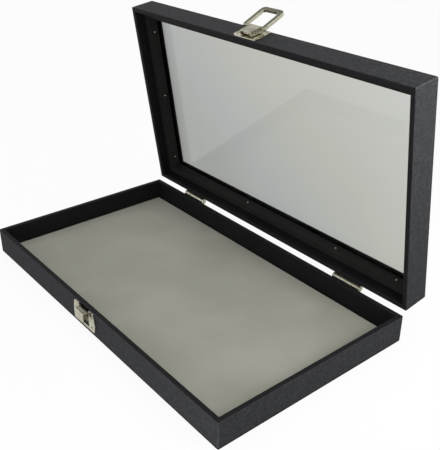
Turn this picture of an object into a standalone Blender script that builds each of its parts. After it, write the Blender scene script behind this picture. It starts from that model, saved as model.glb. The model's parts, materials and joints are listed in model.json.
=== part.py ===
"""Jewelry display case: a low tray and a glazed lid on two hinges, shut by a draw latch.

Metres, +Z up. The origin is the centre of the underside, +X runs along the length and the front faces -Y.
Pieces are drawn as the case lies shut. The lid hangs on an empty at the hinge axis, which holds it open.
"""
import math

import bmesh
import bpy
from mathutils import Matrix, Vector

# Case
LENGTH = 0.37465                    # outside, left to right
WIDTH = 0.20955                     # outside, front to back
BASE_HEIGHT = 0.0265                # tray, underside to rim
LID_HEIGHT = 0.0266                 # lid, rim to top
WALL = 0.0048                       # side walls of tray and lid
BOARD = 0.0025                      # bottom board of the tray and top board of the lid
EDGE = 0.0007                       # rounding of the wrapped edges
FIT = 0.0003                        # clearance between pieces that touch
LID_OPEN = math.radians(81.7)       # how far the lid stands open

# Inside
PAD = 0.0029                        # thickness of the display pad
PAD_CLEARANCE = 0.0006              # pad to walls
PAD_EDGE = 0.0012                   # rounding of the pad's upper edge
LIP = 0.0156                        # width of the lid's top frame round the window
WINDOW_CORNER = 0.0015
GLASS = 0.0022
GLASS_CLEARANCE = 0.0006            # pane to walls
RETAINER = 0.0076                   # thickness of the retainer strips, measured from the wall
RETAINER_HEIGHT = 0.0106

# Hinges
HINGE_INSET = 0.068825              # end of the case to the middle of a hinge
HINGE_LENGTH = 0.0335
KNUCKLE = 0.0100                    # length of each outer knuckle
LEAF_HEIGHT = 0.0150                # pin axis to the end of the leaf
LEAF_CORNER = 0.0020
SHEET = 0.0011                      # thickness of the leaves
HINGE_PIN = 0.00175                 # radius
PIN_CLEARANCE = 0.00015             # round pins, wires and nails
ROLL_END = math.radians(-110)       # where the rolled sheet stops, seen along the pin
PIN_DOME = 0.0005                   # height of a pin's domed ends

# Latch, with distances out from the front face and up or down from the rims
LATCH_X = -0.0036                   # middle of the latch
PLATE = 0.0010                      # thickness of the latch plate
PLATE_DISH = 0.00035                # depth of its dished middle
PLATE_HALF = 0.0168                 # half the width of the latch plate
PLATE_LOW = 0.0010                  # rim to the plate's near edge
PLATE_WIDEST = 0.0070               # rim to the plate's widest part
PLATE_HIGH = 0.0246                 # rim to the plate's far edge
LEVER_HALF = 0.0074                 # half the width of the lever
LEVER_SHEET = 0.0009
LEVER_TOP = 0.0058                  # out to the top of the lever at its near end
LEVER_RISE = 0.0020                 # how much higher its far end is
LEVER_LOW = 0.0016                  # out to the lower edge of the lever's sides
LEVER_REACH = 0.0139                # lever pin to the lever's far end
LEVER_NOSE = 0.0020                 # lever pin to the lever's near end
LEVER_PIN = 0.0009                  # radius
LEVER_PIN_OUT = 0.0033
LEVER_PIN_UP = 0.0056
SADDLE_EYE = 0.0015                 # radius of the saddle round the lever pin
SADDLE_FOOT = 0.0050                # length of the saddle where it meets the plate
SADDLE_WEB = 0.0009                 # thickness of the saddle's cheeks at the pin
BAIL_BAR = 0.0045                   # width of the bail's bar
BAIL_DEEP = 0.0034                  # depth of the bail's bar
BAIL_EASE = 0.0007                  # rounding of its edges
BAIL_HALF = 0.01255                 # middle of the bail to the middle of a leg
BAIL_REACH = 0.02506                # bail's pivot to the middle of its end bar
BAIL_CORNER = 0.0050                # outer bend radius at the end bar
BAIL_INNER = 0.0022                 # inner bend radius at the end bar
BAIL_STUB = 0.0011                  # radius of the pivots turned in from the legs
BAIL_STUB_END = 0.0033              # middle of the bail to the end of a pivot
BAIL_OUT = 0.00565
BAIL_UP = 0.0176
BAIL_TILT = math.radians(17.4)      # thrown back, off the lid's face
STRIKE_HALF = 0.0189                # half the width of the strike
STRIKE_LOW = 0.0048                 # underside to the strike's lower edge
STRIKE_WIDEST = 0.0130              # underside to the strike's widest part
STRIKE_DROP = 0.0012                # rim to the strike's upper edge
STRIKE_NOTCH = 0.0084               # half the width of the notch in its upper edge
STRIKE_SILL = 0.0026                # height of the strip below the strike's slot
HOOK_HALF = 0.0075                  # half the width of the hook
HOOK_SHEET = 0.0009
HOOK_OUT = 0.0065                   # out to the front of the hook
HOOK_TIP = 0.0126                   # underside of the case to the hook's tip
HOOK_TOP = 0.0228                   # underside of the case to the top of the hook
HOOK_BEND = 0.0020                  # outer bend radius of the hook
HOOK_SLOT = 0.0005                  # how much wider than the hook the slot is, at each end

# Nails
BRAD_HEAD = 0.0010                  # radius
BRAD_SHANK = 0.0005                 # radius
BRAD_BITE = 0.0026                  # how deep a brad goes into the wall
TACK_HEAD = 0.0011                  # radius
TACK_SHANK = 0.00055                # radius
TACK_BITE = 0.0028                  # how deep a tack goes into the wall
NAIL_DOME = 0.0006                  # height of a nail's head
SIDE_BRADS = (-0.3579, 0.0, 0.3818)          # shares of WIDTH, from the middle
BACK_BRADS = (-0.1094, 0.2376, 0.4351)       # shares of LENGTH, from the middle
FRONT_BRADS = (-0.3470, 0.0, 0.3470)         # shares of LENGTH, from the middle
TACK_SPREAD = 0.0105                # hinge tacks, each side of the leaf's middle
TACK_DROP = 0.0100                  # hinge tacks, from the pin axis
PLATE_TACK = 0.0104                 # latch plate's tacks, each side of the latch's middle
PLATE_TACK_UP = 0.0152
STRIKE_TACK = 0.0125                # strike's tacks, each side of the latch's middle
STRIKE_TACK_UP = 0.0088

# Places that several pieces share
RIM = BASE_HEIGHT + FIT             # lid's rim as it lies shut
HINGE_Z = BASE_HEIGHT + FIT / 2
BORE = HINGE_PIN + PIN_CLEARANCE
ROLL = BORE + SHEET                 # outer radius of a knuckle
HINGE_Y = WIDTH / 2 + FIT + ROLL
FRONT = -WIDTH / 2
GLASS_TOP = RIM + LID_HEIGHT - BOARD - FIT
RETAINER_TOP = GLASS_TOP - GLASS - FIT
LEVER_AXIS = Vector((LATCH_X, FRONT - LEVER_PIN_OUT, RIM + LEVER_PIN_UP))
BAIL_PLAY = BAIL_HALF - BAIL_BAR / 2 - LEVER_HALF
BAIL_AXIS = Vector((LATCH_X - BAIL_PLAY + FIT, FRONT - BAIL_OUT, RIM + BAIL_UP))
ROUND_STEPS = 24                    # facets of a turned piece or bore
NAIL_STEPS = 10


# Plain shapes

def arc(radius, start, end, steps):
    """Points on a circle round the origin."""
    angles = [start + (end - start) * i / steps for i in range(steps + 1)]
    return [(radius * math.cos(a), radius * math.sin(a)) for a in angles]


def rounded(corners, steps=4):
    """Outline through corners (u, v, radius), each corner rounded by an arc."""
    points = []
    for i, (u, v, radius) in enumerate(corners):
        corner = Vector((u, v))
        before = (Vector(corners[i - 1][:2]) - corner).normalized()
        after = (Vector(corners[(i + 1) % len(corners)][:2]) - corner).normalized()
        if radius == 0:
            points.append(tuple(corner))
            continue
        half = before.angle(after) / 2
        centre = corner + (before + after).normalized() * (radius / math.sin(half))
        start = corner + before * (radius / math.tan(half)) - centre
        sweep = math.copysign(math.pi - 2 * half, before.x * after.y - before.y * after.x)
        for k in range(steps + 1):
            turned = Matrix.Rotation(-sweep * k / steps, 2) @ start
            points.append(tuple(centre + turned))
    return points


def rectangle(u0, u1, v0, v1, radius=0):
    return rounded([(u0, v0, radius), (u1, v0, radius), (u1, v1, radius), (u0, v1, radius)])


def prism(outline, start, end, place):
    """Closed solid: the outline at two depths, set in space by place(u, v, depth)."""
    bm = bmesh.new()
    rings = [[bm.verts.new(place(u, v, depth)) for u, v in outline] for depth in (start, end)]
    for i in range(len(outline)):
        bm.faces.new((rings[0][i - 1], rings[0][i], rings[1][i], rings[1][i - 1]))
    for ring in rings:
        bm.faces.new(ring)
    bmesh.ops.recalc_face_normals(bm, faces=bm.faces)
    return bm


def turned(profile, steps):
    """Closed solid turned round Z, from (radius, height) points that start and end on the axis."""
    bm = bmesh.new()
    first = bm.verts.new((0, 0, profile[0][1]))
    last = bm.verts.new((0, 0, profile[-1][1]))
    rings = []
    for radius, height in profile[1:-1]:
        circle = arc(radius, 0, 2 * math.pi * (steps - 1) / steps, steps - 1)
        rings.append([bm.verts.new((x, y, height)) for x, y in circle])
    for i in range(steps):
        bm.faces.new((first, rings[0][i - 1], rings[0][i]))
        bm.faces.new((last, rings[-1][i], rings[-1][i - 1]))
        for low, high in zip(rings, rings[1:]):
            bm.faces.new((low[i - 1], low[i], high[i], high[i - 1]))
    bmesh.ops.recalc_face_normals(bm, faces=bm.faces)
    return bm


def flat(u, v, depth):
    """Outline in plan, depth upwards."""
    return (u, v, depth)


def from_side(u, v, depth):
    """Outline seen along the length: u towards the back, v up."""
    return (depth, u, v)


def on_front(u, v, depth):
    """Outline on the front face: u from the latch's middle, v up, depth out of the face."""
    return (LATCH_X + u, FRONT - depth, v)


def across_latch(u, v, depth):
    """Section through the latch: u out of the front face, v up, depth from the latch's middle."""
    return (LATCH_X + depth, FRONT - u, v)


# Objects

def finish(name, colour, roughness, metallic=0.0, alpha=1.0):
    material = bpy.data.materials.new(name)
    material.use_nodes = True
    shader = material.node_tree.nodes["Principled BSDF"]
    shader.inputs["Base Color"].default_value = (*colour, 1.0)
    shader.inputs["Roughness"].default_value = roughness
    shader.inputs["Metallic"].default_value = metallic
    shader.inputs["Alpha"].default_value = alpha
    return material


def mesh_from(bm, name):
    mesh = bpy.data.meshes.new(name)
    bm.to_mesh(mesh)
    bm.free()
    return mesh


def hang(obj, pivot):
    """Carry an object on a pivot, with its place still given as the case lies shut."""
    if pivot is not None:
        obj.parent = pivot
        obj.matrix_parent_inverse = Matrix.Translation(-Vector(pivot["shut_at"]))


def put(name, shape, material, pivot=None, matrix=None):
    """New object from a bmesh or a mesh, carried by a pivot if it has one."""
    mesh = shape if isinstance(shape, bpy.types.Mesh) else mesh_from(shape, name)
    obj = bpy.data.objects.new(name, mesh)
    bpy.context.scene.collection.objects.link(obj)
    if material is not None and not mesh.materials:
        mesh.materials.append(material)
    if matrix is not None:
        obj.matrix_basis = matrix
    hang(obj, pivot)
    return obj


def tool(name, shape, pivot=None):
    """Hidden shape that cuts or joins another piece."""
    obj = put(name, shape, None, pivot)
    obj.hide_render = True
    obj.display_type = "WIRE"
    return obj


def combine(obj, other, operation):
    modifier = obj.modifiers.new(other.name, "BOOLEAN")
    modifier.operation = operation
    modifier.object = other
    modifier.solver = "EXACT"


def round_edges(obj, width, segments=2, angle=math.radians(40)):
    modifier = obj.modifiers.new("rounded edges", "BEVEL")
    modifier.width = width
    modifier.segments = segments
    modifier.limit_method = "ANGLE"
    modifier.angle_limit = angle


def shade_round(obj):
    obj.data.shade_smooth()
    obj.data.set_sharp_from_angle(angle=math.radians(40))


def pivot_at(name, place, parent=None):
    """Empty on a joint's axis, which remembers where the axis is when the case is shut."""
    empty = bpy.data.objects.new(name, None)
    bpy.context.scene.collection.objects.link(empty)
    empty.location = place
    empty["shut_at"] = place
    hang(empty, parent)
    return empty


# Nails

def nail_mesh(name, head, shank, length, material):
    """Round-headed nail, its shank down -Z and its head resting just above the surface at the origin."""
    crown = FIT + NAIL_DOME
    profile = [(0, -length), (shank * 0.4, -length), (shank, -length + 2 * shank), (shank, FIT),
               (head, FIT), (head, FIT + NAIL_DOME * 0.4), (head * 0.6, crown), (0, crown)]
    mesh = mesh_from(turned(profile, NAIL_STEPS), name)
    mesh.materials.append(material)
    return mesh


def drive_nails(name, mesh, shank, length, places, targets, pivot=None):
    """Nails at the given places, and their holes in every piece that they go through."""
    holes = bmesh.new()
    for i, place in enumerate(places):
        obj = put(f"{name}_{i + 1}", mesh, None, pivot, place)
        shade_round(obj)
        bmesh.ops.create_cone(holes, cap_ends=True, segments=NAIL_STEPS, radius1=shank + PIN_CLEARANCE,
                              radius2=shank + PIN_CLEARANCE, depth=2 * (length + FIT), matrix=place)
    cutter = tool(f"{name}_holes", holes, pivot)
    for target in targets:
        combine(target, cutter, "DIFFERENCE")


def facing(place, direction):
    """Matrix that sets a nail at a place with its head pointing along a direction."""
    return Matrix.Translation(place) @ Vector(direction).to_track_quat("Z", "Y").to_matrix().to_4x4()


# Tray and lid

def wall(name, run, outline, turn, place, material, pivot):
    """Wall with mitred ends, drawn along X with its outer face at Y = 0, then turned to its side."""
    mitre = FIT / math.sqrt(2)

    def along(inward, height, end):
        return (end * (run / 2 - inward - mitre), inward, height)

    matrix = Matrix.Translation(place) @ Matrix.Rotation(turn, 4, "Z")
    return put(name, prism(outline, -1, 1, along), material, pivot, matrix)


def walls(prefix, bottom, top, material, pivot=None):
    """Four mitred walls between two heights, with rounded long edges."""
    outline = rectangle(0, WALL, bottom, top, EDGE)
    sides = {
        "front": (LENGTH, 0, (0, -WIDTH / 2, 0)),
        "back": (LENGTH, math.pi, (0, WIDTH / 2, 0)),
        "left": (WIDTH, -math.pi / 2, (-LENGTH / 2, 0, 0)),
        "right": (WIDTH, math.pi / 2, (LENGTH / 2, 0, 0)),
    }
    made = {}
    for side, (run, turn, place) in sides.items():
        made[side] = wall(f"{prefix}_{side}_wall", run, outline, turn, place, material, pivot)
    return made


def board(name, bottom, top, material, pivot=None):
    """Board with the outline of the whole case."""
    outline = rectangle(-LENGTH / 2, LENGTH / 2, -WIDTH / 2, WIDTH / 2, EDGE)
    return put(name, prism(outline, bottom, top, flat), material, pivot)


def bottom_board(material):
    obj = board("base_bottom_panel", 0, BOARD, material)
    round_edges(obj, EDGE)


def display_pad(material):
    """Flocked pad on the bottom board, its upper edge rounded over."""
    half_x = LENGTH / 2 - WALL - PAD_CLEARANCE
    half_y = WIDTH / 2 - WALL - PAD_CLEARANCE
    obj = put("display_pad", prism(rectangle(-half_x, half_x, -half_y, half_y, PAD_EDGE),
                                   BOARD + FIT, BOARD + FIT + PAD, flat), material)
    top = obj.data.attributes.new("bevel_weight_edge", "FLOAT", "EDGE")
    for edge in obj.data.edges:
        heights = [obj.data.vertices[i].co.z for i in edge.vertices]
        top.data[edge.index].value = float(min(heights) > BOARD + FIT + PAD / 2)
    modifier = obj.modifiers.new("rounded edge", "BEVEL")
    modifier.width = PAD_EDGE
    modifier.segments = 3
    modifier.limit_method = "WEIGHT"


def top_board(material, pivot):
    """Top of the lid, with the window cut in it."""
    obj = board("lid_top_frame", RIM + LID_HEIGHT - BOARD, RIM + LID_HEIGHT, material, pivot)
    half_x = LENGTH / 2 - LIP
    half_y = WIDTH / 2 - LIP
    outline = rectangle(-half_x, half_x, -half_y, half_y, WINDOW_CORNER)
    window = prism(outline, RIM, RIM + 2 * LID_HEIGHT, flat)
    combine(obj, tool("lid_window", window, pivot), "DIFFERENCE")
    round_edges(obj, EDGE)


def glass_pane(material, pivot):
    half_x = LENGTH / 2 - WALL - GLASS_CLEARANCE
    half_y = WIDTH / 2 - WALL - GLASS_CLEARANCE
    outline = rectangle(-half_x, half_x, -half_y, half_y)
    put("glass_pane", prism(outline, GLASS_TOP - GLASS, GLASS_TOP, flat), material, pivot)


def retainers(material, pivot):
    """Strips that hold the pane up against the top board, the long ones running from wall to wall."""
    bottom = RETAINER_TOP - RETAINER_HEIGHT
    near = WALL + FIT
    far = near + RETAINER
    half_x = LENGTH / 2 - near
    half_y = WIDTH / 2 - far - FIT
    outlines = {
        "front": rectangle(-half_x, half_x, -WIDTH / 2 + near, -WIDTH / 2 + far),
        "back": rectangle(-half_x, half_x, WIDTH / 2 - far, WIDTH / 2 - near),
        "left": rectangle(-LENGTH / 2 + near, -LENGTH / 2 + far, -half_y, half_y),
        "right": rectangle(LENGTH / 2 - far, LENGTH / 2 - near, -half_y, half_y),
    }
    made = {}
    for side, outline in outlines.items():
        made[side] = put(f"retainer_{side}", prism(outline, bottom, RETAINER_TOP, flat), material, pivot)
    return made


def retainer_brads(strips, lid_walls, material, pivot):
    """Brads driven through the strips into the walls."""
    length = RETAINER + FIT + BRAD_BITE
    height = RETAINER_TOP - RETAINER_HEIGHT / 2
    side_x = LENGTH / 2 - WALL - FIT - RETAINER
    side_y = WIDTH / 2 - WALL - FIT - RETAINER
    mesh = nail_mesh("brad", BRAD_HEAD, BRAD_SHANK, length, material)
    places = {
        "front": [facing((LENGTH * x, -side_y, height), (0, 1, 0)) for x in FRONT_BRADS],
        "back": [facing((LENGTH * x, side_y, height), (0, -1, 0)) for x in BACK_BRADS],
        "left": [facing((-side_x, WIDTH * y, height), (1, 0, 0)) for y in SIDE_BRADS],
        "right": [facing((side_x, WIDTH * y, height), (-1, 0, 0)) for y in SIDE_BRADS],
    }
    for side, spots in places.items():
        held = (strips[side], lid_walls[side])
        drive_nails(f"brad_{side}", mesh, BRAD_SHANK, length, spots, held, pivot)


# Hinges

def rolled_section():
    """Leaf seen along the pin, axis at the origin: flat sheet below, rolled up and round the pin."""
    outer = arc(ROLL, math.pi, ROLL_END, ROUND_STEPS)
    inner = arc(BORE, ROLL_END, math.pi, ROUND_STEPS)
    return [(-ROLL, -LEAF_HEIGHT)] + outer + inner + [(-BORE, -LEAF_HEIGHT)]


def base_blank():
    """Flat outline of the base leaf, with room in the middle for the lid's knuckle."""
    half = HINGE_LENGTH / 2
    inner = half - KNUCKLE
    above = 2 * ROLL
    clear = -(ROLL + FIT)
    return rounded([(-half, -LEAF_HEIGHT, LEAF_CORNER), (half, -LEAF_HEIGHT, LEAF_CORNER), (half, above, 0),
                    (inner, above, 0), (inner, clear, 0), (-inner, clear, 0), (-inner, above, 0),
                    (-half, above, 0)])


def lid_blank():
    """Flat outline of the lid leaf, drawn like the base leaf and turned over afterwards."""
    half = HINGE_LENGTH / 2
    inner = half - KNUCKLE - FIT
    above = 2 * ROLL
    clear = -(ROLL + FIT)
    return rounded([(-half, -LEAF_HEIGHT, LEAF_CORNER), (half, -LEAF_HEIGHT, LEAF_CORNER), (half, clear, 0),
                    (inner, clear, 0), (inner, above, 0), (-inner, above, 0), (-inner, clear, 0),
                    (-half, clear, 0)])


def hinge_leaf(name, blank, x, upright, material, pivot):
    """Sheet rolled into knuckles and cut to the blank's outline. One that isn't upright is turned over."""
    side = 1 if upright else -1

    def at_pin(u, v, depth):
        return (x + depth, HINGE_Y + u, HINGE_Z + side * v)

    def on_back(u, v, depth):
        return (x + u, HINGE_Y + depth, HINGE_Z + side * v)

    obj = put(name, prism(rolled_section(), -HINGE_LENGTH, HINGE_LENGTH, at_pin), material, pivot)
    combine(obj, tool(f"{name}_blank", prism(blank, -2 * ROLL, 2 * ROLL, on_back), pivot), "INTERSECT")
    return obj


def hinge_pin(name, x, material):
    half = HINGE_LENGTH / 2 + PIN_DOME
    shoulder = HINGE_LENGTH / 2
    profile = [(0, -half), (HINGE_PIN * 0.6, -half), (HINGE_PIN, -shoulder), (HINGE_PIN, shoulder),
               (HINGE_PIN * 0.6, half), (0, half)]
    matrix = facing((x, HINGE_Y, HINGE_Z), (1, 0, 0))
    shade_round(put(name, turned(profile, ROUND_STEPS), material, None, matrix))


def hinge(name, x, metal, tack, base_wall, lid_wall, pivot):
    """Two rolled leaves on the back faces, a pin, and two tacks through each leaf."""
    base_leaf = hinge_leaf(f"{name}_base_leaf", base_blank(), x, True, metal, None)
    lid_leaf = hinge_leaf(f"{name}_lid_leaf", lid_blank(), x, False, metal, pivot)
    hinge_pin(f"{name}_pin", x, metal)
    face = WIDTH / 2 + FIT + SHEET
    length = FIT + SHEET + TACK_BITE
    for leaf, wood, level, part, carrier in ((base_leaf, base_wall, -TACK_DROP, "base", None),
                                             (lid_leaf, lid_wall, TACK_DROP, "lid", pivot)):
        places = [facing((x + side * TACK_SPREAD, face, HINGE_Z + level), (0, 1, 0)) for side in (-1, 1)]
        drive_nails(f"{name}_{part}_tack", tack, TACK_SHANK, length, places, (leaf, wood), carrier)


# Latch

def latch_plate(material, pivot):
    """Plate on the lid's front with a saddle for the lever pin, its trough open towards the rim."""
    low = RIM + PLATE_LOW
    high = RIM + PLATE_HIGH
    widest = RIM + PLATE_WIDEST
    foot = PLATE_HALF * 0.86
    top = PLATE_HALF * 0.71
    corner = PLATE_HALF * 0.18
    outline = rounded([(-foot, low, corner), (foot, low, corner), (PLATE_HALF, widest, corner),
                       (top, high, corner), (-top, high, corner), (-PLATE_HALF, widest, corner)])
    obj = put("latch_plate", prism(outline, FIT, FIT + PLATE, on_front), material, pivot)
    middle = (low + high) / 2
    inner = [(u * 0.88, middle + (v - middle) * 0.84) for u, v in outline]
    dish = prism(inner, FIT + PLATE - PLATE_DISH, 2 * PLATE, on_front)
    combine(obj, tool("latch_dish", dish, pivot), "DIFFERENCE")
    half = LEVER_HALF - LEVER_SHEET - FIT
    foot = FIT + PLATE / 2
    up = LEVER_AXIS.z
    eye = arc(SADDLE_EYE, -math.pi / 2, math.pi / 2, ROUND_STEPS // 2)
    cheek = [(LEVER_PIN_OUT + u, up + v) for u, v in eye]
    cheek += [(foot, up + SADDLE_FOOT), (foot, up - SADDLE_EYE / 2)]
    saddle = prism(cheek, -half, half, across_latch)
    combine(obj, tool("latch_saddle", saddle, pivot), "UNION")
    trough = half - SADDLE_WEB
    bed = FIT + PLATE + trough + PLATE / 10
    channel = [(u, bed + v) for u, v in arc(trough, math.pi, 2 * math.pi, ROUND_STEPS)]
    channel += [(trough, bed + trough), (-trough, bed + trough)]
    cut = prism(channel, low - PLATE, high, lambda u, v, depth: on_front(u, depth, v))
    combine(obj, tool("latch_trough", cut, pivot), "DIFFERENCE")
    pin_hole(obj, "latch_saddle_bore", LEVER_AXIS, LEVER_PIN, pivot)
    return obj


def pin_hole(obj, name, axis, radius, pivot):
    """Bore along X through a latch piece."""
    last = 2 * math.pi * (ROUND_STEPS - 1) / ROUND_STEPS
    circle = arc(radius + PIN_CLEARANCE, 0, last, ROUND_STEPS - 1)
    outline = [(axis.y + u, axis.z + v) for u, v in circle]
    bore = prism(outline, LATCH_X - LENGTH / 4, LATCH_X + LENGTH / 4, from_side)
    combine(obj, tool(name, bore, pivot), "DIFFERENCE")


def lever_outline(inset):
    """Side of the lever, or of the space inside it when inset by the sheet."""
    up = LEVER_AXIS.z
    near = up - LEVER_NOSE
    far = up + LEVER_REACH - inset
    slope = LEVER_RISE / (LEVER_NOSE + LEVER_REACH)
    top_near = LEVER_TOP - inset
    top_far = top_near + slope * (far - near)
    round_end = LEVER_SHEET * 3 - inset
    if inset:
        start = near - LEVER_TOP
        return rounded([(top_near - slope * LEVER_TOP, start, 0), (top_far, far, round_end),
                        (-LEVER_TOP, far, 0), (-LEVER_TOP, start, 0)])
    return rounded([(top_near, near, LEVER_SHEET / 3), (top_far, far, round_end),
                    (LEVER_LOW, far, LEVER_SHEET), (LEVER_LOW, up + 2 * SADDLE_EYE, LEVER_SHEET),
                    (LEVER_PIN_OUT - SADDLE_EYE, near, LEVER_SHEET)])


def latch_lever(material, pivot):
    """Folded sheet: top, two sides and a rounded end, open below and towards the rim."""
    body = prism(lever_outline(0), -LEVER_HALF, LEVER_HALF, across_latch)
    obj = put("latch_lever", body, material, pivot)
    inside = LEVER_HALF - LEVER_SHEET
    hollow = prism(lever_outline(LEVER_SHEET), -inside, inside, across_latch)
    combine(obj, tool("lever_hollow", hollow, pivot), "DIFFERENCE")
    pin_hole(obj, "lever_pin_bore", LEVER_AXIS, LEVER_PIN, pivot)
    pin_hole(obj, "lever_bail_bore", BAIL_AXIS, BAIL_STUB, pivot)
    round_edges(obj, LEVER_SHEET / 4, segments=1)


def lever_pin(material, pivot):
    """Pin that ends flush with the lever's sides, so that the bail passes it."""
    half = LEVER_HALF
    shoulder = LEVER_HALF - PIN_DOME
    profile = [(0, -half), (LEVER_PIN * 0.6, -half), (LEVER_PIN, -shoulder), (LEVER_PIN, shoulder),
               (LEVER_PIN * 0.6, half), (0, half)]
    matrix = facing(LEVER_AXIS, (1, 0, 0))
    shade_round(put("lever_pin", turned(profile, ROUND_STEPS), material, pivot, matrix))


def latch_bail(material, pivot):
    """Loop of square bar, drawn round its pivot axis, with round pivots turned in to the lever's sides."""
    half = BAIL_BAR / 2
    deep = BAIL_DEEP / 2
    outer = BAIL_HALF + half
    inner = BAIL_HALF - half
    tip = BAIL_REACH + half
    crotch = BAIL_REACH - half
    loop = rounded([(-outer, -BAIL_BAR, 0), (-outer, tip, BAIL_CORNER), (outer, tip, BAIL_CORNER),
                    (outer, -BAIL_BAR, 0), (inner, -BAIL_BAR, 0), (inner, crotch, BAIL_INNER),
                    (-inner, crotch, BAIL_INNER), (-inner, -BAIL_BAR, 0)], 6)
    matrix = Matrix.Translation(BAIL_AXIS) @ Matrix.Rotation(BAIL_TILT, 4, "X")
    bar = prism(loop, -deep, deep, lambda u, v, depth: (u, depth, v))
    obj = put("latch_bail", bar, material, pivot, matrix)
    side = arc(deep, math.pi, 2 * math.pi, ROUND_STEPS // 2)
    side += [(deep, 2 * BAIL_REACH), (-deep, 2 * BAIL_REACH)]
    profile = tool("bail_side", prism(side, -2 * outer, 2 * outer, from_side), pivot)
    profile.matrix_basis = matrix
    combine(obj, profile, "INTERSECT")
    round_edges(obj, BAIL_EASE)
    circle = arc(BAIL_STUB, 0, 2 * math.pi * (ROUND_STEPS - 1) / ROUND_STEPS, ROUND_STEPS - 1)
    for name, end, start in (("bail_pivot_left", -BAIL_STUB_END, -BAIL_HALF),
                             ("bail_pivot_right", BAIL_STUB_END, BAIL_HALF)):
        stub = tool(name, prism(circle, end, start, from_side), pivot)
        stub.matrix_basis = matrix
        combine(obj, stub, "UNION")


def strike_plate(material):
    """Plate on the tray's front, its upper edge folded out and down as a hook over a slot."""
    low = STRIKE_LOW
    high = BASE_HEIGHT - STRIKE_DROP
    middle = STRIKE_WIDEST
    foot = STRIKE_HALF * 0.90
    lobe = STRIKE_HALF * 0.88
    corner = STRIKE_HALF * 0.15
    nook = corner / 2
    outline = rounded([(-foot, low, corner), (foot, low, corner), (STRIKE_HALF, middle, corner),
                       (lobe, high, corner), (STRIKE_NOTCH, high, nook), (STRIKE_NOTCH, HOOK_TOP, nook),
                       (-STRIKE_NOTCH, HOOK_TOP, nook), (-STRIKE_NOTCH, high, nook),
                       (-lobe, high, corner), (-STRIKE_HALF, middle, corner)])
    obj = put("strike_plate", prism(outline, FIT, FIT + PLATE, on_front), material)
    wide = HOOK_HALF + HOOK_SLOT
    throat = HOOK_TOP - HOOK_SHEET
    slot = rectangle(-wide, wide, low + STRIKE_SILL, HOOK_TIP - HOOK_SLOT, HOOK_SLOT)
    combine(obj, tool("strike_slot", prism(slot, 0, HOOK_OUT, on_front)), "DIFFERENCE")
    inner = HOOK_OUT - HOOK_SHEET
    root = FIT + PLATE / 5
    top = HOOK_TOP - HOOK_SHEET / 10
    section = rounded([(root, top, 0), (HOOK_OUT, top, HOOK_BEND),
                       (HOOK_OUT, HOOK_TIP, HOOK_SHEET / 3), (inner, HOOK_TIP, HOOK_SHEET / 3),
                       (inner, throat, HOOK_BEND - HOOK_SHEET), (root, throat, 0)])
    hook = prism(section, -HOOK_HALF, HOOK_HALF, across_latch)
    combine(obj, tool("strike_hook", hook), "UNION")
    return obj


def front_tacks(plate, strike, tack, base_wall, lid_wall, pivot):
    """Two tacks through the latch plate and two through the strike."""
    length = FIT + SHEET + TACK_BITE
    for piece, thick, wood, spread, height, name, carrier in (
            (strike, PLATE, base_wall, STRIKE_TACK, STRIKE_TACK_UP, "strike_tack", None),
            (plate, PLATE - PLATE_DISH, lid_wall, PLATE_TACK, RIM + PLATE_TACK_UP, "latch_tack", pivot)):
        face = FRONT - FIT - thick
        places = [facing((LATCH_X + side * spread, face, height), (0, -1, 0)) for side in (-1, 1)]
        drive_nails(name, tack, TACK_SHANK, length, places, (piece, wood), carrier)


# The whole case

def build():
    for obj in list(bpy.data.objects):
        bpy.data.objects.remove(obj)
    leatherette = finish("charcoal leatherette", (0.045, 0.047, 0.050), 0.55)
    lining = finish("black lining paper", (0.012, 0.012, 0.013), 0.70)
    flock = finish("grey flock", (0.270, 0.268, 0.215), 0.95)
    pane = finish("clear glass", (0.92, 0.95, 0.93), 0.02, 0.0, 0.35)
    nickel = finish("nickel plate", (0.62, 0.60, 0.53), 0.22, 1.0)
    lid = pivot_at("lid_pivot", Vector((0, HINGE_Y, HINGE_Z)))
    lever = pivot_at("lever_pivot", LEVER_AXIS, lid)
    bottom_board(leatherette)
    base_walls = walls("base", BOARD + FIT, BASE_HEIGHT, leatherette)
    display_pad(flock)
    lid_walls = walls("lid", RIM, RIM + LID_HEIGHT - BOARD - FIT, leatherette, lid)
    top_board(leatherette, lid)
    glass_pane(pane, lid)
    strips = retainers(lining, lid)
    retainer_brads(strips, lid_walls, nickel, lid)
    tack = nail_mesh("tack", TACK_HEAD, TACK_SHANK, FIT + SHEET + TACK_BITE, nickel)
    for side, name in ((-1, "hinge_left"), (1, "hinge_right")):
        x = side * (LENGTH / 2 - HINGE_INSET)
        hinge(name, x, nickel, tack, base_walls["back"], lid_walls["back"], lid)
    plate = latch_plate(nickel, lid)
    strike = strike_plate(nickel)
    front_tacks(plate, strike, tack, base_walls["front"], lid_walls["front"], lid)
    latch_lever(nickel, lever)
    lever_pin(nickel, lid)
    latch_bail(nickel, lever)
    lid.rotation_euler.x = -LID_OPEN


build()
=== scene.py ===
"""A shallow counter case for jewelry, standing open: a padded tray and a glazed lid on two hinges.

Everything is in metres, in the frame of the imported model: +X along the case, +Y from the latch to the
hinges, +Z up from the surface it stands on.
"""
import json
import math

import bmesh
import bpy
from mathutils import Matrix, Vector, noise


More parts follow.
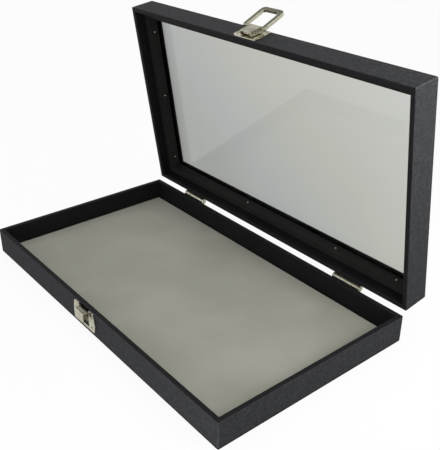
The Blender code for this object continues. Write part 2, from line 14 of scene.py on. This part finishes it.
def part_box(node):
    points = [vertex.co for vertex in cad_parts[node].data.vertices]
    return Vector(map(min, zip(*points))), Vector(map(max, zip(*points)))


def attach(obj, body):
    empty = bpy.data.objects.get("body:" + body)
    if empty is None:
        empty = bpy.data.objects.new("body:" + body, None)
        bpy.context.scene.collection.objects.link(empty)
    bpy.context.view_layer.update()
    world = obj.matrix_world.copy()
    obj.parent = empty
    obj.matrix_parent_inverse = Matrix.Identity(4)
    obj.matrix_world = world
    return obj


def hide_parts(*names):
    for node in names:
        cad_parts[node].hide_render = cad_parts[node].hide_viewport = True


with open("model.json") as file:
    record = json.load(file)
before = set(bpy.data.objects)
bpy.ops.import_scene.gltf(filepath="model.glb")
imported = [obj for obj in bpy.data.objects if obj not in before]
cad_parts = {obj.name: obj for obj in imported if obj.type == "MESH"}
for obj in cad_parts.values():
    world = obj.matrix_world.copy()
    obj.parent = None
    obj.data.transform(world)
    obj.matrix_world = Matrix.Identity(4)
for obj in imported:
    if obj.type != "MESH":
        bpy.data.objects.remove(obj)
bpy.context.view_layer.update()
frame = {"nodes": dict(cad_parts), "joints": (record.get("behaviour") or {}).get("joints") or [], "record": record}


# Camera
# A small camera stands to the right of the latch side, higher than the open lid, and looks down into the
# case. Its place, its aim and its lens were fitted to the edges of the case in the photograph.
CAMERA_PLACE = (0.48341, -0.34450, 0.38897)
CAMERA_TURN = math.radians(50.852)
CAMERA_DOWN = math.radians(27.968)
CAMERA_ROLL = math.radians(0.179)
CAMERA_LENS = 56.794  # millimetres, as is the sensor
CAMERA_SENSOR = 36.0
CAMERA_CLIP = 0.01

camera_aim = (Matrix.Rotation(CAMERA_TURN, 3, "Z") @ Matrix.Rotation(math.pi / 2 - CAMERA_DOWN, 3, "X")
              @ Matrix.Rotation(CAMERA_ROLL, 3, "Z"))
bpy.ops.object.select_all(action="DESELECT")
bpy.ops.object.camera_add(location=CAMERA_PLACE, rotation=camera_aim.to_euler())
camera = bpy.context.object
camera.data.lens = CAMERA_LENS
camera.data.sensor_width = CAMERA_SENSOR
camera.data.clip_start = CAMERA_CLIP
bpy.context.scene.camera = camera


# Tray
# A mitred wooden frame stands on a thin bottom board, with charcoal leatherette glued round the outside.
# Black paper covers the rim, the inside and the underside. A band of it round the lower edge is painted shadow,
# where the case meets the floor.
# A small recess lies behind the notch of the strike, papered black as painted shade.
board_low, board_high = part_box("base_bottom_panel")
wall_low, wall_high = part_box("base_front_wall")
strike_low, strike_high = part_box("strike_plate")
TRAY_LONG = board_high.x - board_low.x
TRAY_WIDE = board_high.y - board_low.y
TRAY_HIGH = wall_high.z
WALL = wall_high.y - wall_low.y
SKIN = 0.0001
TRAY_FLOOR = board_high.z + SKIN
CORNER = 0.0014
CORNER_STEPS = 4
WRAP_EDGE = 0.0007
WRAP_STEPS = 3
RIM_DEPTH = WRAP_EDGE * 0.9
RIM_INSET = WRAP_EDGE * 0.5
LINING_LOW = 0.001
SHADOW_BAND_HIGH = 0.0018
LATCH_X = (strike_low.x + strike_high.x) / 2
RECESS_HALF = 0.0080
RECESS_LOW = 0.0215
RECESS_HIGH = strike_high.z
RECESS_DEEP = 0.0012
SAME_PLACE = 1e-5
SHARP = math.radians(30.0)

# how much of a face's normal lies along an axis that it looks squarely, mostly or partly along
SQUARELY = 0.9
MOSTLY = 0.5
PARTLY = 0.3


def block(name, low, high):
    """A cube drawn from one corner to the other, alone and ready for edit mode."""
    low, high = Vector(low), Vector(high)
    bpy.ops.object.select_all(action="DESELECT")
    bpy.ops.mesh.primitive_cube_add(size=1.0, location=(low + high) / 2, scale=high - low)
    bpy.ops.object.transform_apply(location=True, rotation=True, scale=True)
    piece = bpy.context.object
    piece.name = name
    piece.data.name = name
    return piece


def edit(piece):
    """Opens a piece in edit mode with face selection and nothing picked."""
    bpy.context.view_layer.objects.active = piece
    bpy.ops.object.mode_set(mode="EDIT")
    bpy.ops.mesh.select_mode(type="FACE")
    bpy.ops.mesh.select_all(action="DESELECT")


def pick_faces(piece, wanted):
    """Picks the faces whose normal passes a test."""
    shape = bmesh.from_edit_mesh(piece.data)
    for face in shape.faces:
        face.select_set(wanted(face.normal))
    bmesh.update_edit_mesh(piece.data)


def leave_edit(piece):
    """Back to object mode with only this piece selected."""
    bpy.ops.object.mode_set(mode="OBJECT")
    bpy.ops.object.select_all(action="DESELECT")
    piece.select_set(True)
    bpy.context.view_layer.objects.active = piece


def round_corners(piece):
    """Rounds the four upright outer corners, where the wood is sanded before it is wrapped."""
    bpy.ops.mesh.select_all(action="DESELECT")
    bpy.ops.mesh.select_mode(type="EDGE")
    shape = bmesh.from_edit_mesh(piece.data)
    for edge in shape.edges:
        start, end = (vertex.co for vertex in edge.verts)
        upright = abs(start.z - end.z) > TRAY_HIGH / 2
        at_end = abs(abs(start.x) - TRAY_LONG / 2) < SAME_PLACE
        at_side = abs(abs(start.y) - TRAY_WIDE / 2) < SAME_PLACE
        edge.select_set(upright and at_end and at_side)
    bmesh.update_edit_mesh(piece.data)
    bpy.ops.mesh.bevel(offset=CORNER, segments=CORNER_STEPS, affect="EDGES")


def ease_edges(piece, width, steps):
    """Rounds the sharp edges, shades the rest by angle and keeps the flat faces level."""
    bevel = piece.modifiers.new("ease", "BEVEL")
    bevel.width = width
    bevel.segments = steps
    bevel.limit_method = "ANGLE"
    bevel.angle_limit = SHARP
    bpy.ops.object.modifier_apply(modifier=bevel.name)
    bpy.ops.object.shade_smooth_by_angle(angle=SHARP)
    level = piece.modifiers.new("level", "WEIGHTED_NORMAL")
    level.keep_sharp = True
    bpy.ops.object.modifier_apply(modifier=level.name)


def grey(level):
    """A colour with no hue."""
    return (level, level, level)


def feed(tree, socket, value):
    """Sets a socket to a number, or links another node's output to it."""
    if isinstance(value, float):
        socket.default_value = value
    else:
        tree.links.new(value, socket)


def new_material(name):
    """A material with one Principled shader, its tree and the piece's own coordinates."""
    made = bpy.data.materials.new(name)
    made.use_nodes = True
    tree = made.node_tree
    place = tree.nodes.new("ShaderNodeTexCoord").outputs["Object"]
    return made, tree, tree.nodes["Principled BSDF"], place


def add_noise(tree, place, scale, detail, roughness):
    """The value of a noise texture."""
    node = tree.nodes.new("ShaderNodeTexNoise")
    node.inputs["Scale"].default_value = scale
    node.inputs["Detail"].default_value = detail
    node.inputs["Roughness"].default_value = roughness
    tree.links.new(place, node.inputs["Vector"])
    return node.outputs["Fac"]


def calculate(tree, operation, *values):
    """The result of one operation on numbers and on the outputs of other nodes."""
    node = tree.nodes.new("ShaderNodeMath")
    node.operation = operation
    for socket, value in zip(node.inputs, values):
        feed(tree, socket, value)
    return node.outputs[0]


def ramp(tree, factor, stops):
    """A colour ramp through the given places and colours."""
    node = tree.nodes.new("ShaderNodeValToRGB")
    while len(node.color_ramp.elements) < len(stops):
        node.color_ramp.elements.new(0.5)
    for element, (place, colour) in zip(node.color_ramp.elements, stops):
        element.position = place
        element.color = (*colour, 1.0)
    tree.links.new(factor, node.inputs["Fac"])
    return node.outputs["Color"]


def multiply_colours(tree, first, second):
    """One colour multiplied by another."""
    node = tree.nodes.new("ShaderNodeMix")
    node.data_type = "RGBA"
    node.blend_type = "MULTIPLY"
    node.inputs["Factor"].default_value = 1.0
    tree.links.new(first, node.inputs["A"])
    tree.links.new(second, node.inputs["B"])
    return node.outputs["Result"]


def add_relief(tree, shader, height, strength, distance, invert=False):
    """Lets a texture stand up from the surface, or sink into it."""
    node = tree.nodes.new("ShaderNodeBump")
    node.invert = invert
    node.inputs["Strength"].default_value = strength
    node.inputs["Distance"].default_value = distance
    tree.links.new(height, node.inputs["Height"])
    tree.links.new(node.outputs["Normal"], shader.inputs["Normal"])


def leatherette_material(name, painted_highlight):
    """Charcoal coated paper with an embossed fine grain, slightly uneven in colour, and made paler by a painted
    highlight where asked.
    """
    made, tree, shader, place = new_material(name)
    grain = tree.nodes.new("ShaderNodeTexVoronoi")
    grain.feature = "SMOOTH_F1"
    grain.inputs["Scale"].default_value = 1150.0
    grain.inputs["Randomness"].default_value = 1.0
    tree.links.new(place, grain.inputs["Vector"])
    fine = add_noise(tree, place, scale=1500.0, detail=2.0, roughness=0.6)
    pebble = calculate(tree, "MULTIPLY_ADD", fine, 0.5, grain.outputs["Distance"])
    tone = ramp(tree, pebble, [
        (0.25, (0.059 * painted_highlight, 0.060 * painted_highlight, 0.0635 * painted_highlight)),
        (0.60, (0.040 * painted_highlight, 0.041 * painted_highlight, 0.044 * painted_highlight)),
        (0.95, (0.026 * painted_highlight, 0.027 * painted_highlight, 0.029 * painted_highlight))])
    clouds = add_noise(tree, place, scale=260.0, detail=5.0, roughness=0.6)
    cloud_tone = ramp(tree, clouds, [(0.35, grey(0.82)), (0.65, grey(1.15))])
    tree.links.new(multiply_colours(tree, tone, cloud_tone), shader.inputs["Base Color"])
    gloss = ramp(tree, pebble, [(0.3, grey(0.46)), (0.9, grey(0.62))])
    tree.links.new(gloss, shader.inputs["Roughness"])
    shader.inputs["Specular IOR Level"].default_value = 0.05
    add_relief(tree, shader, pebble, strength=0.35, distance=0.0002, invert=True)
    return made


def lining_material(name, dark, light):
    """Thin black paper pasted to the wood, with a faint fibre in it."""
    made, tree, shader, place = new_material(name)
    fibre = add_noise(tree, place, scale=420.0, detail=5.0, roughness=0.65)
    clouds = add_noise(tree, place, scale=24.0, detail=3.0, roughness=0.5)
    uneven = calculate(tree, "MULTIPLY_ADD", clouds, 0.6, fibre)
    tone = ramp(tree, uneven, [(0.55, dark), (1.05, light)])
    tree.links.new(tone, shader.inputs["Base Color"])
    shader.inputs["Roughness"].default_value = 0.62
    shader.inputs["Specular IOR Level"].default_value = 0.12
    add_relief(tree, shader, fibre, strength=0.2, distance=0.0001)
    return made


WRAP_FINISHES = (
    leatherette_material("charcoal leatherette", painted_highlight=1.0),
    lining_material("black lining paper", (0.0045, 0.0046, 0.0052), (0.0085, 0.0086, 0.0096)),
    # the lining paper again, painted lighter on the rim, where the light falls
    lining_material("black lining paper painted lighter on the rim", (0.0095, 0.0098, 0.0108), (0.0150, 0.0154, 0.0166)),
    # the leatherette made paler: a painted highlight for corners that catch the light
    leatherette_material("leatherette with painted highlight", painted_highlight=1.55))
LINING, RIM, LIT_CORNER = 1, 2, 3


def paper_inside(piece, low, high, rim):
    """Papers the rim, in lining paper painted lighter as lit, and the inside between two heights, and paints a
    highlight on the corners at the right end.
    """
    for finish in WRAP_FINISHES:
        piece.data.materials.append(finish)
    for polygon in piece.data.polygons:
        x, y, z = polygon.center
        inset = min(TRAY_LONG / 2 - abs(x), TRAY_WIDE / 2 - abs(y))
        upright_corner = abs(polygon.normal.x) > PARTLY and abs(polygon.normal.y) > PARTLY
        # painted light: the rim gets the lighter copy of the lining paper
        if abs(z - rim) < RIM_DEPTH and inset > RIM_INSET:
            polygon.material_index = RIM
        elif inset > WALL - SKIN and low < z < high:
            polygon.material_index = LINING
        # painted highlight: the rounded upright corners at the right end, which catch the light
        elif upright_corner and inset < CORNER and x > 0.0:
            polygon.material_index = LIT_CORNER


def in_shaded_recess(polygon):
    """Whether a face lies in the recess, past the rounded edge of its mouth, where black paper is painted shade.
    """
    x, y, z = polygon.center
    depth = y + TRAY_WIDE / 2
    inside = abs(x - LATCH_X) < RECESS_HALF and RECESS_LOW < z < RECESS_HIGH and depth < WALL / 2
    return inside and (polygon.normal.y > -MOSTLY or depth > WRAP_EDGE)


tray = block("tray_wrap", (-TRAY_LONG / 2, -TRAY_WIDE / 2, 0.0), (TRAY_LONG / 2, TRAY_WIDE / 2, TRAY_HIGH))
edit(tray)
pick_faces(tray, lambda normal: normal.z > SQUARELY)
bpy.ops.mesh.inset(thickness=WALL)
bpy.ops.mesh.extrude_region_move(TRANSFORM_OT_translate={"value": (0.0, 0.0, TRAY_FLOOR - TRAY_HIGH)})
round_corners(tray)
bpy.ops.mesh.select_all(action="SELECT")
bpy.ops.mesh.bisect(plane_co=(0.0, 0.0, SHADOW_BAND_HIGH), plane_no=(0.0, 0.0, 1.0))
leave_edit(tray)
recess = block("strike_recess", (LATCH_X - RECESS_HALF, -TRAY_WIDE, RECESS_LOW),
               (LATCH_X + RECESS_HALF, RECESS_DEEP - TRAY_WIDE / 2, RECESS_HIGH))
leave_edit(tray)
cut = tray.modifiers.new("recess", "BOOLEAN")
cut.operation = "DIFFERENCE"
cut.object = recess
bpy.ops.object.modifier_apply(modifier=cut.name)
bpy.data.objects.remove(recess)
ease_edges(tray, WRAP_EDGE, WRAP_STEPS)
paper_inside(tray, LINING_LOW, TRAY_HIGH, TRAY_HIGH)
# painted shade: the lowest band of the walls, standing for the shadow where the case meets the floor, and the
# inside of the recess get the black lining paper
for polygon in tray.data.polygons:
    if polygon.center.z < SHADOW_BAND_HIGH or in_shaded_recess(polygon):
        polygon.material_index = LINING
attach(tray, "base")
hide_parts("base_front_wall", "base_back_wall", "base_left_wall", "base_right_wall",
            "base_bottom_panel")


# Pad
# A card with a thin layer of foam under grey flock lies loose on the tray's floor, a little crowned,
# with its upper edge rounded over.
PAD_EDGE = 0.0013
PAD_CROWN = 0.0003
PAD_COLUMNS = 150
PAD_ROWS = 84
PAD_CROWDING = 1.6
PAD_SHARP = math.radians(50.0)
RIPPLE_HIGH = 0.0001
RIPPLE_SCALE = 22.0
RIPPLE_SLICE = 3.1
pad_low, pad_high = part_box("display_pad")
pad_size = pad_high - pad_low


def crowded(place):
    """Moves a place between -0.5 and 0.5 outwards, so that the rounded edge has enough rows."""
    return math.copysign(0.5 - 0.5 * (1.0 - 2.0 * abs(place)) ** PAD_CROWDING, place)


def flock_material():
    """Short grey pile, a little greener where it is worn flat and paler where it stands up."""
    made, tree, shader, place = new_material("grey flock")
    pile = add_noise(tree, place, scale=2600.0, detail=3.0, roughness=0.7)
    nap = add_noise(tree, place, scale=11.0, detail=3.0, roughness=0.55)
    standing = calculate(tree, "MULTIPLY_ADD", nap, 0.8, pile)
    tone = ramp(tree, standing, [
        (0.45, (0.254, 0.254, 0.207)), (0.90, (0.297, 0.297, 0.246)), (1.30, (0.340, 0.338, 0.290))])
    tree.links.new(tone, shader.inputs["Base Color"])
    shader.inputs["Roughness"].default_value = 0.95
    shader.inputs["Specular IOR Level"].default_value = 0.1
    shader.inputs["Sheen Weight"].default_value = 0.25
    shader.inputs["Sheen Roughness"].default_value = 0.6
    shader.inputs["Sheen Tint"].default_value = (0.85, 0.85, 0.80, 1.0)
    add_relief(tree, shader, pile, strength=0.3, distance=0.0002)
    return made


bpy.ops.object.select_all(action="DESELECT")
bpy.ops.mesh.primitive_grid_add(x_subdivisions=PAD_COLUMNS, y_subdivisions=PAD_ROWS, size=1.0)
pad = bpy.context.object
pad.name = "display_pad_flocked"
pad.data.name = pad.name
for vertex in pad.data.vertices:
    across, deep = crowded(vertex.co.x), crowded(vertex.co.y)
    x, y = across * pad_size.x, deep * pad_size.y
    rim = min(pad_size.x / 2 - abs(x), pad_size.y / 2 - abs(y))
    drop = 0.0
    if rim < PAD_EDGE:
        drop = PAD_EDGE - math.sqrt(max(0.0, PAD_EDGE ** 2 - (PAD_EDGE - rim) ** 2))
    crown = PAD_CROWN * (1.0 - (2.0 * across) ** 2) * (1.0 - (2.0 * deep) ** 2)
    ripple = RIPPLE_HIGH * noise.noise(Vector((x * RIPPLE_SCALE, y * RIPPLE_SCALE, RIPPLE_SLICE)))
    vertex.co = Vector((x, y, pad_high.z - drop + crown + ripple))
edit(pad)
bpy.ops.mesh.select_all(action="SELECT")
bpy.ops.mesh.extrude_region_move(TRANSFORM_OT_translate={"value": (0.0, 0.0, -pad_size.z)})
leave_edit(pad)
for vertex in pad.data.vertices:
    if vertex.select:
        vertex.co.z = pad_low.z
edit(pad)
bpy.ops.mesh.select_all(action="SELECT")
bpy.ops.mesh.normals_make_consistent(inside=False)
leave_edit(pad)
bpy.ops.object.shade_smooth_by_angle(angle=PAD_SHARP)
pad.data.materials.append(flock_material())
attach(pad, "base")
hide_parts("display_pad")


# Lid
# The lid is a second mitred frame with a thin top board, cut out for the window. It is wrapped like the tray
# and drawn here as it lies shut, then turned about the hinge pins to where it stands.
LIP = 0.0156
lid_hinge = next(joint for joint in frame["joints"] if joint["name"] == "lid_hinge")
hinge_place = Vector(lid_hinge["pos_m"])
lid_open = math.radians(-lid_hinge["range_deg"][0])
stand_open = (Matrix.Translation(hinge_place) @ Matrix.Rotation(-lid_open, 4, "X")
              @ Matrix.Translation(-hinge_place))
lid_shut = stand_open.inverted()


def heights_when_shut(node):
    """The lowest and the highest point of a lid piece as it lies shut."""
    heights = [(lid_shut @ vertex.co).z for vertex in frame["nodes"][node].data.vertices]
    return min(heights), max(heights)


LID_RIM = heights_when_shut("lid_front_wall")[0]
BOARD_UNDER, LID_TOP = heights_when_shut("lid_top_frame")

lid = block("lid_wrap", (-TRAY_LONG / 2, -TRAY_WIDE / 2, LID_RIM),
            (TRAY_LONG / 2, TRAY_WIDE / 2, LID_TOP))
edit(lid)
pick_faces(lid, lambda normal: normal.z < -SQUARELY)
bpy.ops.mesh.inset(thickness=WALL)
bpy.ops.mesh.extrude_region_move(TRANSFORM_OT_translate={"value": (0.0, 0.0, BOARD_UNDER - LID_RIM)})
bpy.ops.mesh.inset(thickness=LIP - WALL)
bpy.ops.mesh.delete(type="FACE")
pick_faces(lid, lambda normal: normal.z > SQUARELY)
bpy.ops.mesh.inset(thickness=LIP)
bpy.ops.mesh.delete(type="FACE")
bpy.ops.mesh.select_mode(type="EDGE")
bpy.ops.mesh.select_non_manifold()
bpy.ops.mesh.bridge_edge_loops()
bpy.ops.mesh.select_all(action="SELECT")
bpy.ops.mesh.normals_make_consistent(inside=False)
round_corners(lid)
leave_edit(lid)
ease_edges(lid, WRAP_EDGE, WRAP_STEPS)
paper_inside(lid, LID_RIM, BOARD_UNDER - SKIN, LID_RIM)
lid.matrix_world = stand_open
bpy.ops.object.transform_apply(location=True, rotation=True, scale=True)
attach(lid, "lid")
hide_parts("lid_front_wall", "lid_back_wall", "lid_left_wall", "lid_right_wall", "lid_top_frame")


# Retainer strips
# Four square strips of wood, wrapped in black paper, are nailed round the inside of the lid. They hold the
# pane against the lip of the top board.
STRIP_EDGE = 0.0005
SMALL_STEPS = 2
MERGE_WITHIN = 1e-6
FLAT_WITHIN = math.radians(0.5)


def finished_copy(node, body, material, ease, cuts=()):
    """A CAD piece with its triangles merged and its sharp edges eased, standing for the plain one."""
    piece = bpy.data.objects.new(node + "_finished", frame["nodes"][node].data.copy())
    bpy.context.scene.collection.objects.link(piece)
    piece.data.materials.clear()
    piece.data.materials.append(material)
    leave_edit(piece)
    bpy.ops.mesh.customdata_custom_splitnormals_clear()
    edit(piece)
    bpy.ops.mesh.select_all(action="SELECT")
    bpy.ops.mesh.remove_doubles(threshold=MERGE_WITHIN)
    bpy.ops.mesh.dissolve_limited(angle_limit=FLAT_WITHIN)
    for place, facing in cuts:
        bpy.ops.mesh.select_all(action="SELECT")
        bpy.ops.mesh.bisect(plane_co=place, plane_no=facing)
    leave_edit(piece)
    ease_edges(piece, ease, SMALL_STEPS)
    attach(piece, body)
    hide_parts(node)
    return piece


strip_paper = lining_material("black strip paper", (0.0115, 0.0115, 0.0113), (0.0205, 0.0202, 0.0194))
for side in ("front", "back", "left", "right"):
    finished_copy("retainer_" + side, "lid", strip_paper, STRIP_EDGE)


# Window
# A pane of sheet glass lies on the lip of the top board, under the strips. It is clear, with a grey cast painted
# as reflection, deeper low down and towards the left, and painted shade that makes it darkest beside the left
# strip.
def glass_material():
    """Clear glass with a trace of dust, a grey cast painted as reflection and painted shade beside the left strip.
    """
    made, tree, shader, place = new_material("window glass")
    dust = add_noise(tree, place, scale=14.0, detail=3.0, roughness=0.5)
    apart = tree.nodes.new("ShaderNodeSeparateXYZ")
    tree.links.new(place, apart.inputs[0])
    along = calculate(tree, "MULTIPLY_ADD", dust, 0.06, apart.outputs["X"])
    upward = calculate(tree, "MULTIPLY_ADD", apart.outputs["Z"], 1.1, along)
    # painted reflection: a grey cast, darker low down and to the left
    painted_reflection_cast = ramp(tree, upward, [
        (0.00, (0.395, 0.405, 0.385)), (0.11, (0.433, 0.449, 0.440)),
        (0.25, (0.510, 0.515, 0.470)), (0.45, (0.600, 0.610, 0.580))])
    # a ramp can't take places below 0, so they are counted from 0.20 left of the middle
    beside = calculate(tree, "ADD", apart.outputs["X"], 0.20)
    # painted shade: darkest in a band beside the left strip
    painted_strip_shade = ramp(tree, beside, [(0.028, grey(0.42)), (0.037, grey(0.90)), (0.048, grey(1.0))])
    tree.links.new(multiply_colours(tree, painted_reflection_cast, painted_strip_shade), shader.inputs["Base Color"])
    shader.inputs["Roughness"].default_value = 0.0
    shader.inputs["IOR"].default_value = 1.27
    shader.inputs["Transmission Weight"].default_value = 1.0
    return made


pane = frame["nodes"]["glass_pane"]
pane.data.materials.clear()
pane.data.materials.append(glass_material())


# Metalwork
# The hinges, the draw latch, its strike and their tacks are pressed and bent from mild steel, nickel plated.
# The pins are drawn wire. The brads in the strips are the same bright finish. Faces in the hollows under the lever
# and behind the strike's hook are painted dark brown, as shade.
METAL_NAMES = ("hinge", "latch", "strike", "lever", "brad")
METAL_EDGE = 0.00018
SADDLE_OUT = 0.0016
HOOK_HALF = 0.0082
HOOK_LOW = 0.0122
HOOK_INNER = 0.0057
HOOK_CUTS = (
    ((LATCH_X - HOOK_HALF, 0.0, 0.0), (1.0, 0.0, 0.0)),
    ((LATCH_X + HOOK_HALF, 0.0, 0.0), (1.0, 0.0, 0.0)),
    ((0.0, 0.0, HOOK_LOW), (0.0, 0.0, 1.0)))
PLATED, SHADE_PAINTED = 0, 1


def nickel_material():
    """Bright nickel over steel, warm, with fine rubbing marks and a little tarnish."""
    made, tree, shader, place = new_material("nickel plate")
    tarnish = add_noise(tree, place, scale=160.0, detail=4.0, roughness=0.6)
    rubbing = add_noise(tree, place, scale=1400.0, detail=2.0, roughness=0.6)
    tone = ramp(tree, tarnish, [
        (0.30, (0.50, 0.47, 0.36)), (0.55, (0.67, 0.65, 0.52)), (0.80, (0.76, 0.745, 0.64))])
    tree.links.new(tone, shader.inputs["Base Color"])
    shader.inputs["Metallic"].default_value = 1.0
    gloss = ramp(tree, tarnish, [(0.3, grey(0.34)), (0.7, grey(0.18))])
    tree.links.new(gloss, shader.inputs["Roughness"])
    add_relief(tree, shader, rubbing, strength=0.12, distance=0.0001)
    return made


def painted_shade_steel_material():
    """Dark brown steel for faces in the hollows: painted shade where the lever and the hook shut out the light."""
    made, tree, shader, place = new_material("steel painted dark as shade")
    stain = add_noise(tree, place, scale=300.0, detail=3.0, roughness=0.6)
    tone = ramp(tree, stain, [(0.35, (0.085, 0.064, 0.024)), (0.70, (0.230, 0.178, 0.078))])
    tree.links.new(tone, shader.inputs["Base Color"])
    shader.inputs["Metallic"].default_value = 1.0
    shader.inputs["Roughness"].default_value = 0.45
    return made


def latch_in_painted_shade(middle, normal):
    """Whether a face of the plate on the lid belongs to the saddle that the lever covers."""
    return -TRAY_WIDE / 2 - middle.y > SADDLE_OUT


def lever_in_painted_shade(middle, normal):
    """Whether a face of the lever looks into its channel."""
    sideways = middle.x - LATCH_X
    return normal.y > MOSTLY or normal.x * sideways < -MOSTLY * abs(sideways)


def strike_in_painted_shade(middle, normal):
    """Whether a face of the strike lies behind its hook."""
    out = -TRAY_WIDE / 2 - middle.y
    behind = out < HOOK_INNER and middle.z > HOOK_LOW and abs(middle.x - LATCH_X) < HOOK_HALF
    return behind and abs(normal.x) < MOSTLY and normal.z < MOSTLY


# painted shade: faces under the lever and behind the strike's hook get the dark steel
PAINTED_SHADE_TESTS = {"latch_plate": latch_in_painted_shade, "latch_lever": lever_in_painted_shade, "strike_plate": strike_in_painted_shade}
nickel = nickel_material()
painted_shade_steel = painted_shade_steel_material()
for body, members in frame["record"]["behaviour"]["bodies"].items():
    for node in members:
        if node.startswith(METAL_NAMES):
            cuts = HOOK_CUTS if node == "strike_plate" else ()
            piece = finished_copy(node, body, nickel, METAL_EDGE, cuts)
            if node in PAINTED_SHADE_TESTS:
                piece.data.materials.append(painted_shade_steel)
                back = Matrix.Identity(4) if body == "base" else lid_shut
                for polygon in piece.data.polygons:
                    shaded = PAINTED_SHADE_TESTS[node](back @ polygon.center, back.to_3x3() @ polygon.normal)
                    polygon.material_index = SHADE_PAINTED if shaded else PLATED


# Floor and light
# The case stands on a plain white surface that runs out of sight, under soft lamps and a pale room. Floor and
# room look whiter to the camera, and through the glass, than the light they give.
FLOOR_REACH = 6.0
FLOOR_BELOW = -0.0003
FLOOR_GLOW = 0.92
FLOOR_MIRRORED = 0.66
ROOM_STRENGTH = 0.68
CASE_MIDDLE = (0.0, 0.0, 0.08)


def seen_plainly(tree, in_mirrors):
    """1 for what the camera and glass look at, a share of it in mirrors, 0 for what only lights the case."""
    rays = tree.nodes.new("ShaderNodeLightPath")
    straight = calculate(tree, "MAXIMUM", rays.outputs["Is Camera Ray"], rays.outputs["Is Transmission Ray"])
    mirrored = calculate(tree, "MULTIPLY", rays.outputs["Is Glossy Ray"], in_mirrors)
    return calculate(tree, "MAXIMUM", straight, mirrored)


def plain_shader(tree, kind, colour):
    """A shader of one colour."""
    node = tree.nodes.new(kind)
    node.inputs["Color"].default_value = (*colour, 1.0)
    return node


def mix_shaders(tree, share, first, second):
    """The first shader giving way to the second by a share."""
    node = tree.nodes.new("ShaderNodeMixShader")
    feed(tree, node.inputs["Fac"], share)
    tree.links.new(first.outputs[0], node.inputs[1])
    tree.links.new(second.outputs[0], node.inputs[2])
    return node


def soft_lamp(name, place, target, size, power, mirrored):
    """A soft lamp that faces a point, not seen itself, and in mirrors only where it should be."""
    bpy.ops.object.select_all(action="DESELECT")
    bpy.ops.object.light_add(type="AREA", location=place)
    lamp = bpy.context.object
    lamp.name = name
    lamp.data.shape = "RECTANGLE"
    lamp.data.size, lamp.data.size_y = size
    lamp.data.energy = power
    lamp.rotation_mode = "QUATERNION"
    lamp.rotation_quaternion = (Vector(target) - Vector(place)).to_track_quat("-Z", "Y")
    lamp.visible_camera = False
    lamp.visible_transmission = False
    lamp.visible_glossy = mirrored


bpy.ops.object.select_all(action="DESELECT")
bpy.ops.mesh.primitive_plane_add(size=FLOOR_REACH, location=(0.0, 0.0, FLOOR_BELOW))
floor = bpy.context.object
floor.name = "floor"
floor_paint = bpy.data.materials.new("white floor")
floor_paint.use_nodes = True
floor_tree = floor_paint.node_tree
floor_tree.nodes.clear()
floor_out = floor_tree.nodes.new("ShaderNodeOutputMaterial")
floor_dull = plain_shader(floor_tree, "ShaderNodeBsdfDiffuse", grey(0.25))
floor_white = plain_shader(floor_tree, "ShaderNodeBsdfDiffuse", grey(0.85))
floor_glow = plain_shader(floor_tree, "ShaderNodeEmission", grey(1.0))
floor_seen = mix_shaders(floor_tree, FLOOR_GLOW, floor_white, floor_glow)
floor_mix = mix_shaders(floor_tree, seen_plainly(floor_tree, FLOOR_MIRRORED), floor_dull, floor_seen)
floor_tree.links.new(floor_mix.outputs[0], floor_out.inputs["Surface"])
floor.data.materials.append(floor_paint)

room = bpy.data.worlds.new("pale room")
bpy.context.scene.world = room
room.use_nodes = True
room_tree = room.node_tree
room_tree.nodes.clear()
room_out = room_tree.nodes.new("ShaderNodeOutputWorld")
room_light = plain_shader(room_tree, "ShaderNodeBackground", grey(1.0))
room_light.inputs["Strength"].default_value = ROOM_STRENGTH
room_seen = plain_shader(room_tree, "ShaderNodeBackground", grey(1.0))
room_mirrored = room_tree.nodes.new("ShaderNodeBackground")
room_way = room_tree.nodes.new("ShaderNodeSeparateXYZ")
room_tree.links.new(room_tree.nodes.new("ShaderNodeTexCoord").outputs["Generated"], room_way.inputs[0])
room_height = ramp(room_tree, room_way.outputs["Z"], [
    (0.0, (0.95, 0.95, 0.95)), (0.42, (0.85, 0.85, 0.84)),
    (0.55, (0.50, 0.50, 0.49)), (0.66, (0.10, 0.10, 0.09))])
room_tree.links.new(room_height, room_mirrored.inputs["Color"])
room_rays = room_tree.nodes.new("ShaderNodeLightPath")
room_first = mix_shaders(room_tree, room_rays.outputs["Is Glossy Ray"], room_light, room_mirrored)
room_mix = mix_shaders(room_tree, seen_plainly(room_tree, 0.0), room_first, room_seen)
room_tree.links.new(room_mix.outputs[0], room_out.inputs["Surface"])

soft_lamp("lamp_above", place=(0.08, 0.05, 1.00), target=CASE_MIDDLE,
          size=(0.5, 0.5), power=1.7, mirrored=True)
soft_lamp("lamp_right", place=(0.42, 0.08, 0.30), target=(0.187, 0.185, 0.29),
          size=(0.2, 0.2), power=1.14, mirrored=False)
soft_lamp("lamp_front", place=(0.30, -0.42, 0.06), target=(0.06, -0.105, 0.013),
          size=(0.3, 0.1), power=0.85, mirrored=False)

bpy.context.scene.view_settings.view_transform = "Standard"
